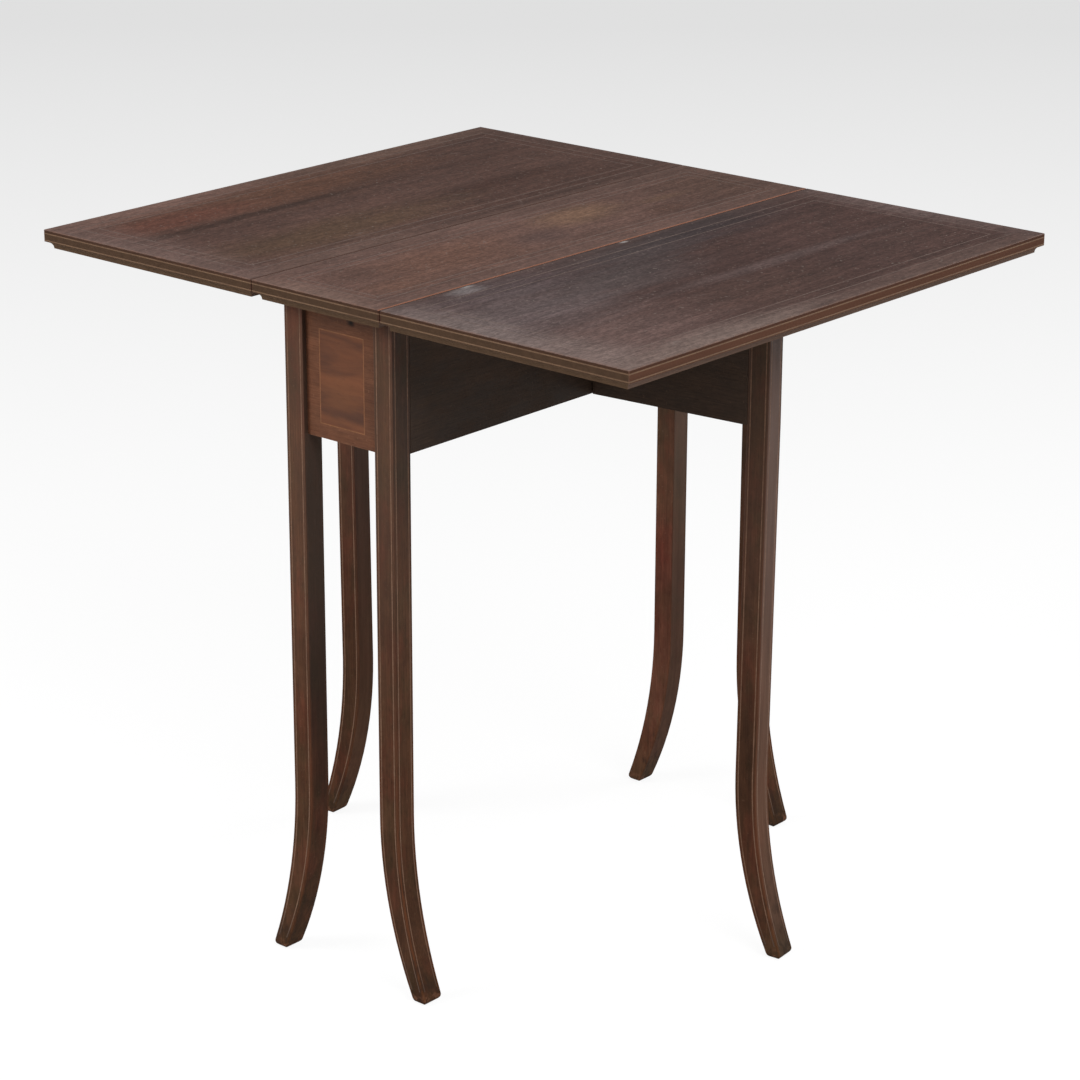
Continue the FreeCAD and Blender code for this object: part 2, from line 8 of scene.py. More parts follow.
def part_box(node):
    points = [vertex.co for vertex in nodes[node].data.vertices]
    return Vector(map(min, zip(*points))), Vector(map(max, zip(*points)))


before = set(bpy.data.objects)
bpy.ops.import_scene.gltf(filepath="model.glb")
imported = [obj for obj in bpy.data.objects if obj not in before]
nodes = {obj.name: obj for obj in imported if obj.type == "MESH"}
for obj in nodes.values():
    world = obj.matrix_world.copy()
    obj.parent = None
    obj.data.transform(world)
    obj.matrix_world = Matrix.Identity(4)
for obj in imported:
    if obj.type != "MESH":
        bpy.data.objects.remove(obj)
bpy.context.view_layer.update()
scene = bpy.context.scene

# Lengths of the table in metres, and how far from square its gates stand open. A pair of heights is
# where one band of a board's edge gives way to the next.
TOP_HEIGHT = 0.711
FACE_BOTTOM = (TOP_HEIGHT - 0.0011, TOP_HEIGHT - 0.0004)
LIP_BOTTOM = (TOP_HEIGHT - 0.0034, TOP_HEIGHT - 0.0028)
COVE_TOP = TOP_HEIGHT - 0.0123
BORDER_INSET = 0.0235
RIGHT_GATE_LEAN = math.radians(5.8)
LEFT_GATE_LEAN = math.radians(-3.0)
GATE_REACH = 0.217
GATE_KNEE_SET_IN = 0.0035
CURVE_HEIGHT = 0.19
FOOT_SPLAY = 0.0365
FOOT_WIDTH = 0.017

rail_low, rail_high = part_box("right_fixed_rail")
leg_low, leg_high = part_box("near_right_leg")
LEG_WIDTH = leg_high.y - leg_low.y
FRAME_SIDE = rail_high.x
FRAME_END = -leg_low.y
APRON_BOTTOM = rail_low.z
GATE_PIN = (FRAME_SIDE - LEG_WIDTH / 2, 0.0018, 0.0)

# Widths of the rubbed arrises and depths of the grain in metres.
LEG_ARRIS_WIDTH = 0.0034
BOARD_ARRIS_WIDTH = 0.0015
RAIL_ARRIS_WIDTH = 0.0016
GRAIN_DEPTH = 0.0003
BARE_GRAIN_DEPTH = 0.0004
STRING_GRAIN_DEPTH = 0.0002
BRUSH_DEPTH = 0.0001

# Levels of mirror shine, from rubbed wood to bare wood and metal.
FRAME_SHINE = 0.1
TOP_SHINE = 0.16
INLAY_SHINE = 0.2
PLAIN_SHINE = 0.5

# Turns that lay the grain along a piece.
UPRIGHT = (math.pi / 2, 0.0, 0.0)
LENGTHWISE = (0.0, 0.0, 0.0)
CROSSWISE = (0.0, 0.0, math.pi / 2)

# Spans: how far a face has to turn to a side to count as facing it, and the whole range of a mask.
FACING = (0.6, 0.95)
WHOLE = (0.0, 1.0)


class Tree:
    """A node tree with short calls for adding nodes and linking their sockets."""

    def __init__(self, tree):
        self.tree = tree

    def add(self, kind, **settings):
        node = self.tree.nodes.new(kind)
        for key, value in settings.items():
            setattr(node, key, value)
        return node

    def link(self, source, target):
        self.tree.links.new(source, target)

    def feed(self, socket, value):
        """Links a socket to another, or sets it to a plain value or a red, green and blue colour."""
        if isinstance(value, bpy.types.NodeSocket):
            self.link(value, socket)
        elif socket.type == "RGBA":
            socket.default_value = (*value, 1.0)
        else:
            socket.default_value = value

    def math(self, operation, a, b=0.0):
        node = self.add("ShaderNodeMath", operation=operation)
        self.feed(node.inputs[0], a)
        self.feed(node.inputs[1], b)
        return node.outputs[0]

    def times(self, a, b):
        return self.math("MULTIPLY", a, b)

    def less(self, a, b):
        return self.math("SUBTRACT", a, b)

    def vector(self, operation, a, b):
        node = self.add("ShaderNodeVectorMath", operation=operation)
        self.feed(node.inputs[0], a)
        self.feed(node.inputs[1], b)
        return node.outputs[0]

    def split(self, vector):
        """The X, Y and Z parts of a vector."""
        node = self.add("ShaderNodeSeparateXYZ")
        self.link(vector, node.inputs[0])
        return node.outputs

    def ramp(self, value, span, result=WHOLE):
        """A smooth step from one result to the other as the value crosses the span."""
        node = self.add("ShaderNodeMapRange", interpolation_type="SMOOTHSTEP")
        self.feed(node.inputs["Value"], value)
        node.inputs["From Min"].default_value, node.inputs["From Max"].default_value = span
        node.inputs["To Min"].default_value, node.inputs["To Max"].default_value = result
        return node.outputs["Result"]

    def fade(self, value, span):
        """One below the span and nothing above it."""
        return self.less(1.0, self.ramp(value, span))

    def stops(self, value, places):
        """A colour that follows the value through (place, colour) stops."""
        node = self.add("ShaderNodeValToRGB")
        elements = node.color_ramp.elements
        for element, (place, paint) in ((elements[0], places[0]), (elements[1], places[-1])):
            element.position = place
            element.color = (*paint, 1.0)
        for place, paint in places[1:-1]:
            elements.new(place).color = (*paint, 1.0)
        self.link(value, node.inputs["Fac"])
        return node.outputs["Color"]

    def noise(self, vector, stretch, detail=2.0, roughness=0.5, distortion=0.0):
        """Noise whose pattern is drawn out by a different scale on each axis."""
        node = self.add("ShaderNodeTexNoise")
        node.inputs["Scale"].default_value = 1.0
        node.inputs["Detail"].default_value = detail
        node.inputs["Roughness"].default_value = roughness
        node.inputs["Distortion"].default_value = distortion
        self.link(self.vector("MULTIPLY", vector, stretch), node.inputs["Vector"])
        return node.outputs["Fac"]

    def mix(self, factor, a, b, blend="MIX"):
        node = self.add("ShaderNodeMix", data_type="RGBA", blend_type=blend)
        self.feed(node.inputs["Factor"], factor)
        self.feed(node.inputs["A"], a)
        self.feed(node.inputs["B"], b)
        return node.outputs["Result"]

    def tint(self, base, paint):
        """A colour multiplied by another."""
        return self.mix(1.0, base, paint, "MULTIPLY")

    def cover(self, base, mask, strength, paint):
        """A colour with paint laid over it where the mask is, at the strength given."""
        return self.mix(self.times(mask, strength), base, paint)

    def place(self, group, **values):
        """An instance of a shared group with its inputs set by name."""
        node = self.add("ShaderNodeGroup")
        node.node_tree = group
        for key, value in values.items():
            self.feed(node.inputs[key], value)
        return node.outputs


def shared_group(name, inputs, outputs):
    """A new node group, its tree, and the sockets inside it where values come in and go out."""
    group = bpy.data.node_groups.new(name, "ShaderNodeTree")
    for socket, kind in inputs:
        group.interface.new_socket(socket, in_out="INPUT", socket_type="NodeSocket" + kind)
    for socket in outputs:
        group.interface.new_socket(socket, in_out="OUTPUT", socket_type="NodeSocketFloat")
    tree = Tree(group)
    entry = tree.add("NodeGroupInput").outputs
    leave = tree.add("NodeGroupOutput").inputs
    return group, tree, entry, leave


def make_grain_group():
    """Straight mahogany grain along the vector's Y axis: streaks, ribbons, fibres and open pores."""
    group, t, entry, leave = shared_group(
        "mahogany grain", [("Vector", "Vector"), ("Shift", "Vector")],
        ["Streaks", "Ribbon", "Fibre", "Pores", "Height"])
    moved = t.vector("ADD", entry["Vector"], entry["Shift"])
    wander = t.noise(moved, (5.0, 2.2, 5.0))
    push = t.add("ShaderNodeCombineXYZ")
    t.link(t.times(t.less(wander, 0.5), 0.035), push.inputs["X"])
    grain = t.vector("ADD", moved, push.outputs["Vector"])
    streaks = t.noise(grain, (30.0, 0.9, 30.0), detail=4.0, roughness=0.6)
    ribbon = t.noise(grain, (150.0, 5.0, 150.0), detail=4.0, roughness=0.6)
    fibre = t.noise(grain, (900.0, 22.0, 900.0), detail=3.0, roughness=0.6)
    pores = t.ramp(t.noise(grain, (1300.0, 120.0, 1300.0)), (0.56, 0.70))
    t.link(t.ramp(streaks, (0.30, 0.70)), leave["Streaks"])
    t.link(t.ramp(ribbon, (0.28, 0.72)), leave["Ribbon"])
    t.link(t.ramp(fibre, (0.25, 0.75)), leave["Fibre"])
    t.link(pores, leave["Pores"])
    t.link(t.less(t.times(fibre, 0.35), pores), leave["Height"])
    return group


def make_edge_group():
    """A mask that is strong along the arrises of a box and fades within the width given."""
    group, t, entry, leave = shared_group(
        "rubbed arris", [("Vector", "Vector"), ("Low", "Vector"), ("High", "Vector"), ("Width", "Float")],
        ["Mask"])
    from_low = t.split(t.vector("SUBTRACT", entry["Vector"], entry["Low"]))
    from_high = t.split(t.vector("SUBTRACT", entry["High"], entry["Vector"]))
    near = [t.math("MINIMUM", from_low[axis], from_high[axis]) for axis in ("X", "Y", "Z")]
    smaller = t.math("MINIMUM", near[0], near[1])
    larger = t.math("MAXIMUM", near[0], near[1])
    middle = t.math("MAXIMUM", smaller, t.math("MINIMUM", larger, near[2]))
    uneven = t.noise(entry["Vector"], (90.0, 90.0, 90.0), detail=3.0, roughness=0.6)
    reach = t.times(entry["Width"], t.ramp(uneven, (0.3, 0.75), (0.25, 1.6)))
    t.link(t.fade(t.math("DIVIDE", middle, reach), WHOLE), leave["Mask"])
    return group


def make_scratch_group():
    """Sparse fine scratches that run along the vector's Y axis, broken up by a patchy mask."""
    group, t, entry, leave = shared_group(
        "fine scratches", [("Vector", "Vector"), ("Amount", "Float")], ["Mask"])
    lines = t.noise(entry["Vector"], (85.0, 3.0, 1.0), detail=1.0)
    thin = t.fade(t.math("ABSOLUTE", t.less(lines, 0.5)), (0.0, 0.008))
    patches = t.ramp(t.noise(entry["Vector"], (16.0, 11.0, 1.0), detail=3.0, roughness=0.7), (0.56, 0.74))
    t.link(t.times(t.times(thin, patches), entry["Amount"]), leave["Mask"])
    return group


def make_bloom_group():
    """Cloudy, greyed patches of old polish and the small pale specks in it."""
    group, t, entry, leave = shared_group("old polish", [("Vector", "Vector")], ["Clouds", "Specks", "Sheen"])
    clouds = t.noise(entry["Vector"], (9.0, 5.0, 9.0), detail=5.0, roughness=0.62, distortion=0.4)
    specks = t.noise(entry["Vector"], (330.0, 330.0, 330.0), detail=1.0)
    sheen = t.noise(entry["Vector"], (60.0, 26.0, 60.0), detail=4.0, roughness=0.65)
    t.link(t.ramp(clouds, (0.32, 0.70)), leave["Clouds"])
    t.link(t.ramp(specks, (0.7, 0.745)), leave["Specks"])
    t.link(t.ramp(sheen, (0.25, 0.75)), leave["Sheen"])
    return group


def make_patch_group():
    """A soft-edged patch about a centre, with a ragged outline that runs with the grain."""
    group, t, entry, leave = shared_group(
        "soft patch", [("Vector", "Vector"), ("Centre", "Vector"), ("Size", "Vector")], ["Mask"])
    away = t.vector("DIVIDE", t.vector("SUBTRACT", entry["Vector"], entry["Centre"]), entry["Size"])
    length = t.add("ShaderNodeVectorMath", operation="LENGTH")
    t.link(away, length.inputs[0])
    ragged = t.noise(entry["Vector"], (80.0, 7.0, 80.0), detail=4.0, roughness=0.65)
    reach = t.math("ADD", length.outputs["Value"], t.times(t.less(ragged, 0.5), 0.9))
    t.link(t.fade(reach, (0.1, 1.1)), leave["Mask"])
    return group


def make_leg_arris_group():
    """A mask along the four long arrises of a right-hand leg, which follows its lean and its curve."""
    group, t, entry, leave = shared_group(
        "leg arris", [("Vector", "Vector"), ("Outside", "Float"), ("Front", "Float"), ("Knee", "Float"),
                      ("Width", "Float")], ["Mask"])
    place = t.split(entry["Vector"])
    drop = t.math("MAXIMUM", t.less(CURVE_HEIGHT, place["Z"]), 0.0)

    def bow(splay):
        """How far a long side has curved out at this height."""
        radius = (CURVE_HEIGHT ** 2 + splay ** 2) / (2 * splay)
        return t.less(radius, t.math("SQRT", t.less(radius ** 2, t.times(drop, drop))))

    fall = t.math("DIVIDE", t.less(APRON_BOTTOM, place["Z"]), APRON_BOTTOM - CURVE_HEIGHT)
    lean = t.times(entry["Knee"], t.math("MINIMUM", t.math("MAXIMUM", fall, 0.0), 1.0))
    straight = t.less(entry["Outside"], lean)
    outer = t.math("ADD", straight, bow(FOOT_SPLAY))
    inner = t.math("ADD", t.less(straight, LEG_WIDTH), bow(FOOT_SPLAY + LEG_WIDTH - FOOT_WIDTH))
    from_side = t.math("MINIMUM", t.less(outer, place["X"]), t.less(place["X"], inner))
    from_front = t.less(place["Y"], entry["Front"])
    from_face = t.math("MINIMUM", from_front, t.less(LEG_WIDTH, from_front))
    away = t.math("MAXIMUM", from_side, from_face)
    uneven = t.noise(entry["Vector"], (70.0, 70.0, 24.0), detail=3.0, roughness=0.6)
    reach = t.times(entry["Width"], t.ramp(uneven, (0.3, 0.7), (0.35, 1.3)))
    t.link(t.fade(t.math("DIVIDE", away, reach), (0.2, 1.0)), leave["Mask"])
    return group


grain_group = make_grain_group()
edge_group = make_edge_group()
scratch_group = make_scratch_group()
bloom_group = make_bloom_group()
patch_group = make_patch_group()
leg_arris_group = make_leg_arris_group()


def new_material(name):
    """An empty material, its tree, its shader and its texture coordinates."""
    material = bpy.data.materials.new(name)
    material.use_nodes = True
    material.node_tree.nodes.clear()
    t = Tree(material.node_tree)
    output = t.add("ShaderNodeOutputMaterial")
    shader = t.add("ShaderNodeBsdfPrincipled")
    t.link(shader.outputs["BSDF"], output.inputs["Surface"])
    return material, t, shader, t.add("ShaderNodeTexCoord").outputs


def finish_surface(t, shader, base, rough, shine, relief):
    """Gives the shader its colour, roughness, shine and relief, which is a height, a strength and a depth."""
    t.link(base, shader.inputs["Base Color"])
    t.link(rough, shader.inputs["Roughness"])
    shader.inputs["Specular IOR Level"].default_value = shine
    height, strength, depth = relief
    bump = t.add("ShaderNodeBump")
    bump.inputs["Strength"].default_value = strength
    bump.inputs["Distance"].default_value = depth
    t.link(height, bump.inputs["Height"])
    t.link(bump.outputs["Normal"], shader.inputs["Normal"])


def turned(t, coords, angles):
    """Coordinates turned so that the grain's length lies along Y."""
    node = t.add("ShaderNodeMapping", vector_type="POINT")
    node.inputs["Rotation"].default_value = angles
    t.link(coords, node.inputs["Vector"])
    return node.outputs["Vector"]


def deepened(paint, level):
    return tuple(level * part for part in paint)


def scaled(t, base, levels, factor):
    """A colour made darker or lighter between two levels as the factor runs from nothing to one."""
    level = t.ramp(factor, WHOLE, levels)
    shade = t.add("ShaderNodeCombineColor")
    for socket in shade.inputs:
        t.link(level, socket)
    return t.tint(base, shade.outputs["Color"])


def wood_colour(t, grain, wood, pore_strength):
    """Wood between its dark and light streaks, warmed by ribbons and darkened in the pores."""
    base = t.mix(grain["Streaks"], wood["dark"], wood["light"])
    base = t.cover(base, grain["Ribbon"], 0.4, wood["warm"])
    base = scaled(t, base, (0.86, 1.14), grain["Fibre"])
    return t.cover(base, grain["Pores"], pore_strength, deepened(wood["dark"], 0.35))


def polished_wood(t, grain, polish, wood):
    """Wood clouded and shaded by its old polish."""
    base = wood_colour(t, grain, wood, 0.3)
    base = t.cover(base, polish["Clouds"], 0.4, deepened(wood["dark"], 0.55))
    return scaled(t, base, (0.85, 1.15), polish["Sheen"])


def frame_wood(name, angles, shift, wood, gloss, node=None, marks=()):
    """Wood of rails and gate arms, with the grain turned along the piece and its arrises rubbed paler."""
    material, t, shader, texture = new_material(name)
    coords = texture["Object"]
    along = turned(t, coords, angles)
    grain = t.place(grain_group, Vector=along, Shift=shift)
    polish = t.place(bloom_group, Vector=t.vector("ADD", along, shift))
    base = polished_wood(t, grain, polish, wood)
    base = t.cover(base, polish["Specks"], 0.4, wood["wear"])
    if node:
        low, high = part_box(node)
        rubbed = t.place(edge_group, Vector=coords, Low=low, High=high, Width=RAIL_ARRIS_WIDTH)
        base = t.cover(base, rubbed["Mask"], 0.4, wood["wear"])
    for centre, size, paint, strength in marks:
        mark = t.place(patch_group, Vector=coords, Centre=centre, Size=size)
        base = t.cover(base, mark["Mask"], strength, paint)
    rough = t.ramp(polish["Sheen"], WHOLE, (gloss - 0.06, gloss + 0.1))
    finish_surface(t, shader, base, rough, FRAME_SHINE, (grain["Height"], 0.25, GRAIN_DEPTH))
    return material


def leg_axes(t, coords, side, lean):
    """Coordinates across a leg: X out to its own side, Y from front to back, turned back for a gate leg."""
    across = t.vector("MULTIPLY", coords, (side, 1.0, 1.0))
    if lean is None:
        return across
    node = t.add("ShaderNodeMapping", vector_type="TEXTURE")
    node.inputs["Location"].default_value = GATE_PIN
    node.inputs["Rotation"].default_value = (0.0, 0.0, lean)
    t.link(across, node.inputs["Vector"])
    return node.outputs["Vector"]


def worn_leg(t, base, coords, height, look):
    """A leg's wear: rubbed arrises, a dulled and grimy foot and a chipped toe."""
    axes = leg_axes(t, coords, look["side"], look.get("lean"))
    arris = t.place(leg_arris_group, Vector=axes, Outside=look["outside"], Front=look["front"],
                    Knee=look.get("knee", 0.0), Width=LEG_ARRIS_WIDTH)
    rubbed = t.ramp(height, (0.1, 0.4), (look["rubbed"], look.get("rubbed high", 0.35)))
    base = t.mix(t.times(arris["Mask"], rubbed), base, t.stops(height, RUBBED_ARRIS))
    base = t.mix(t.ramp(height, (0.008, 0.045), (0.8, 0.0)), base, t.tint(base, DULL_FOOT))
    grimy = t.ramp(t.noise(coords, (75.0, 75.0, 45.0), detail=4.0, roughness=0.65), (0.46, 0.66))
    base = t.cover(base, t.times(t.fade(height, (0.02, 0.12)), grimy), 0.55, FOOT_GRIME)
    chipped = t.ramp(t.noise(coords, (130.0, 130.0, 130.0), detail=3.0, roughness=0.6), (0.5, 0.64))
    return t.cover(base, t.times(t.fade(height, (0.004, 0.016)), chipped), 0.7, CHIPPED_TOE)


def leg_wood(name, shift, look):
    """Wood of a leg, patchy and worn, with light, shade and a grey sheen painted on by height and by face."""
    wood = {part: deepened(paint, look["tone"]) for part, paint in MAHOGANY.items()}
    material, t, shader, texture = new_material(name)
    coords = texture["Object"]
    along = turned(t, coords, UPRIGHT)
    moved = t.vector("ADD", along, shift)
    grain = t.place(grain_group, Vector=along, Shift=shift)
    polish = t.place(bloom_group, Vector=moved)
    height = t.split(coords)["Z"]
    sideways = t.split(texture["Normal"])["X"]

    base = polished_wood(t, grain, polish, wood)
    flush = t.ramp(t.noise(moved, (30.0, 14.0, 30.0), detail=3.0, roughness=0.6), (0.46, 0.66))
    base = t.mix(flush, base, t.tint(base, RED_FLUSH))
    elsewhere = t.vector("ADD", moved, (3.1, 1.7, 0.6))
    olive = t.ramp(t.noise(elsewhere, (34.0, 17.0, 34.0), detail=3.0, roughness=0.6), (0.48, 0.66))
    base = t.mix(olive, base, t.tint(base, OLIVE_CAST))
    base = t.cover(base, polish["Specks"], 0.18, wood["wear"])
    # Painted shade on the inner face, stronger higher up.
    inner = t.ramp(t.times(sideways, look["inner"]), FACING)
    base = t.mix(t.times(inner, t.ramp(height, (0.1, 0.32), (0.22, 0.75))), base, INNER_SHADE)
    # Painted light and shade by height.
    base = t.tint(base, t.stops(height, look.get("tints", LEG_PAINTED_LIGHT_AND_SHADE)))
    # A painted grey sheen, stronger higher up.
    base = t.mix(t.ramp(height, (0.25, 0.65), (0.0, 0.35)), base, PAINTED_GREY_SHEEN)
    # Painted light, darker low down and lighter high up.
    if "lift" in look:
        base = scaled(t, base, look["lift"], t.ramp(height, (0.18, 0.42)))
    # Painted shadow of the leaf, high on the side that faces +X.
    if "shade" in look:
        shaded = t.times(t.ramp(sideways, FACING), t.ramp(height, (0.46, 0.58)))
        base = t.mix(shaded, base, t.tint(base, look["shade"]))
    # Painted light and sheen on the side that faces +X, coloured by height.
    if "flank" in look:
        flank = scaled(t, t.stops(height, look["flank"]), (0.85, 1.15), grain["Ribbon"])
        base = t.mix(t.ramp(sideways, FACING, (0.0, 0.7)), base, flank)
    base = worn_leg(t, base, coords, height, look)

    gloss = t.ramp(polish["Sheen"], WHOLE, (0.44, 0.6))
    rough = t.math("MAXIMUM", gloss, t.ramp(height, (0.15, 0.5), (0.92, 0.5)))
    finish_surface(t, shader, base, rough, FRAME_SHINE, (grain["Height"], 0.25, GRAIN_DEPTH))
    return material


def board_face(t, coords, grain, polish, tone, patches):
    """A board's upper face: soft patches on an even tone, with grain, mottling and open pores."""
    base = t.mix(polish["Clouds"], deepened(tone, 0.9), deepened(tone, 1.1))
    for centre, size, paint, strength in patches:
        patch = t.place(patch_group, Vector=coords, Centre=centre + (TOP_HEIGHT,), Size=size + (0.05,))
        base = t.cover(base, patch["Mask"], strength, paint)
    base = scaled(t, base, (0.93, 1.07), grain["Streaks"])
    base = scaled(t, base, (0.92, 1.08), grain["Ribbon"])
    base = scaled(t, base, (0.84, 1.16), grain["Fibre"])
    base = scaled(t, base, (0.94, 1.06), polish["Sheen"])
    mottle = t.ramp(t.noise(coords, (400.0, 180.0, 400.0), detail=3.0, roughness=0.65), (0.3, 0.7))
    base = scaled(t, base, (0.8, 1.2), mottle)
    return t.cover(base, grain["Pores"], 0.4, deepened(tone, 0.35))


def board_wear(t, base, moved, place, polish, low, high):
    """A board's wear: a greyed border, a worn rim, scratches and pale specks."""
    x_inset = t.math("MINIMUM", t.less(place["X"], low.x), t.less(high.x, place["X"]))
    y_inset = t.math("MINIMUM", t.less(place["Y"], low.y), t.less(high.y, place["Y"]))
    inset = t.math("MINIMUM", x_inset, y_inset)
    base = t.cover(base, t.fade(inset, (BORDER_INSET - 0.0006, BORDER_INSET + 0.0006)), 0.12, EDGES["border"])
    base = t.cover(base, t.times(t.fade(inset, (0.0, 0.011)), polish["Sheen"]), 0.3, EDGES["worn"])
    for angle, amount in ((0.25, 0.5), (-0.9, 0.4), (1.35, 0.35)):
        scratch = t.place(scratch_group, Vector=turned(t, moved, (0.0, 0.0, angle)), Amount=amount)
        base = t.mix(scratch["Mask"], base, PALE_SCRATCH)
    return t.cover(base, polish["Specks"], 0.6, PALE_SPECK)


def board_edge(t, place, long_side, grain):
    """A board's moulded edge: a dark lip over a paler cove, redder on the long sides than on the ends."""
    base = t.mix(long_side, EDGES["end"], EDGES["side"])
    base = t.cover(base, t.ramp(place["Z"], LIP_BOTTOM), 0.65, EDGES["lip"])
    hollow = t.mix(long_side, EDGES["end cove"], EDGES["side cove"])
    base = t.cover(base, t.fade(place["Z"], (COVE_TOP - 0.0004, COVE_TOP + 0.0002)), 0.85, hollow)
    return scaled(t, base, (0.92, 1.08), grain["Ribbon"])


def board_wood(name, node, shift, tone, patches, seams, gloss):
    """A board of the top: its face and wear, its moulded edge, painted shade and light at its seams, and its
    bare underside.
    """
    material, t, shader, texture = new_material(name)
    coords = texture["Object"]
    moved = t.vector("ADD", coords, shift)
    grain = t.place(grain_group, Vector=coords, Shift=shift)
    polish = t.place(bloom_group, Vector=moved)
    low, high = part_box(node)
    place = t.split(coords)
    facing = t.split(texture["Normal"])

    base = board_face(t, coords, grain, polish, tone, patches)
    base = board_wear(t, base, moved, place, polish, low, high)
    long_side = t.ramp(t.math("ABSOLUTE", facing["X"]), (0.3, 0.6))
    side = t.fade(place["Z"], FACE_BOTTOM)
    base = t.mix(side, base, board_edge(t, place, long_side, grain))
    rubbed = t.place(edge_group, Vector=coords, Low=low, High=high, Width=BOARD_ARRIS_WIDTH)
    base = t.cover(base, rubbed["Mask"], 0.5, EDGES["arris"])
    # Lines along the seams: painted shadow in the gaps and a painted highlight on a lit arris.
    for seam, reach, paint, strength in seams:
        line = t.fade(t.math("ABSOLUTE", t.less(place["X"], seam)), (0.4 * reach, reach))
        base = t.cover(base, line, strength, t.mix(side, paint, EDGES["lip"]))
    under = t.fade(facing["Z"], (-0.95, -0.7))
    bare = wood_colour(t, grain, BARE_BOARD, 0.4)
    bare = t.cover(bare, polish["Clouds"], 0.5, BARE_BOARD["stain"])
    base = t.mix(under, base, bare)

    rough = t.ramp(polish["Sheen"], WHOLE, (gloss - 0.05, gloss + 0.1))
    rough = t.math("MAXIMUM", rough, t.times(side, 0.85))
    finish_surface(t, shader, base, rough, TOP_SHINE, (grain["Height"], 0.12, GRAIN_DEPTH))
    return material


def string_wood(name, pale, tanned, stained, foot=None):
    """Boxwood stringing, gone tan under polish, with stained stretches and, on legs, a dull foot."""
    material, t, shader, texture = new_material(name)
    coords = texture["Object"]
    stains = t.ramp(t.noise(coords, (38.0, 38.0, 38.0), detail=4.0, roughness=0.7), (0.35, 0.72))
    fine = t.ramp(t.noise(coords, (400.0, 400.0, 400.0)), (0.3, 0.7))
    base = t.mix(fine, pale, tanned)
    base = t.cover(base, stains, 0.6, stained)
    if foot:
        base = t.mix(t.ramp(t.split(coords)["Z"], (0.016, 0.05), (0.9, 0.0)), base, foot)
    rough = t.ramp(fine, WHOLE, (0.38, 0.5))
    finish_surface(t, shader, base, rough, INLAY_SHINE, (fine, 0.1, STRING_GRAIN_DEPTH))
    return material


def figured_wood(name, node):
    """Veneer with dark wavy bands across the panel, a glowing stretch and a shadowy one below it."""
    material, t, shader, texture = new_material(name)
    coords = texture["Object"]
    grain = t.place(grain_group, Vector=turned(t, coords, CROSSWISE), Shift=(0.3, 0.7, 0.2))
    bands = t.noise(coords, (9.0, 9.0, 50.0), detail=3.0, roughness=0.55, distortion=0.6)
    flame = t.noise(coords, (26.0, 26.0, 130.0), detail=3.0, roughness=0.6, distortion=0.4)
    base = t.mix(t.ramp(bands, (0.36, 0.64)), FIGURE["dark"], FIGURE["light"])
    base = t.cover(base, t.ramp(flame, (0.3, 0.7)), 0.4, FIGURE["flame"])
    base = scaled(t, base, (0.92, 1.08), grain["Ribbon"])
    low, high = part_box(node)
    tall = high.z - low.z
    glow = t.place(patch_group, Vector=coords, Centre=(0.0, low.y, low.z + 0.3 * tall),
                   Size=(0.035, 0.02, 0.03))
    base = t.cover(base, glow["Mask"], 0.5, FIGURE["glow"])
    shadow = t.place(patch_group, Vector=coords, Centre=(0.01, low.y, low.z + 0.14 * tall),
                     Size=(0.06, 0.02, 0.007))
    base = t.cover(base, shadow["Mask"], 0.7, FIGURE["shadow"])
    base = t.cover(base, grain["Pores"], 0.2, FIGURE["pores"])
    rough = t.ramp(flame, (0.2, 0.8), (0.36, 0.48))
    finish_surface(t, shader, base, rough, INLAY_SHINE, (grain["Height"], 0.2, GRAIN_DEPTH))
    return material


def plain_wood(name, angles):
    """Pale secondary wood inside the frame, dusty and unpolished."""
    material, t, shader, texture = new_material(name)
    coords = texture["Object"]
    grain = t.place(grain_group, Vector=turned(t, coords, angles), Shift=(1.3, 0.4, 2.1))
    polish = t.place(bloom_group, Vector=coords)
    base = wood_colour(t, grain, SECONDARY, 0.35)
    base = t.cover(base, polish["Clouds"], 0.45, SECONDARY["stain"])
    rough = t.ramp(polish["Sheen"], WHOLE, (0.6, 0.78))
    finish_surface(t, shader, base, rough, PLAIN_SHINE, (grain["Height"], 0.4, BARE_GRAIN_DEPTH))
    return material


def worn_metal(name, bright, tarnished, rough):
    """Hinge metal, bright where it is rubbed and tarnished elsewhere, with fine brush marks."""
    material, t, shader, texture = new_material(name)
    coords = texture["Object"]
    cloud = t.ramp(t.noise(coords, (120.0, 60.0, 120.0), detail=5.0, roughness=0.7), (0.38, 0.66))
    brush = t.noise(coords, (2400.0, 90.0, 900.0))
    base = t.mix(cloud, bright, tarnished)
    shader.inputs["Metallic"].default_value = 1.0
    uneven = t.math("ADD", t.times(cloud, 0.7), t.times(brush, 0.3))
    rough = t.ramp(uneven, WHOLE, (rough, rough + 0.3))
    finish_surface(t, shader, base, rough, PLAIN_SHINE, (brush, 0.08, BRUSH_DEPTH))
    return material


def dress(names, material):
    for name in names:
        slots = nodes[name].data.materials
        slots.clear()
        slots.append(material)


def dress_kind(endings, material):
    """Dresses every piece whose name has one of the endings."""
    dress([name for name in nodes if name.endswith(endings)], material)


# Woods, each as a dark and a light streak, a warm ribbon and a rubbed or stained place. The figured
# veneer has bands, flame, a glow, a shadow and pores instead.
MAHOGANY = {"dark": (0.064, 0.0275, 0.0145), "light": (0.128, 0.0545, 0.0277), "warm": (0.145, 0.055, 0.026),
            "wear": (0.2, 0.108, 0.063)}
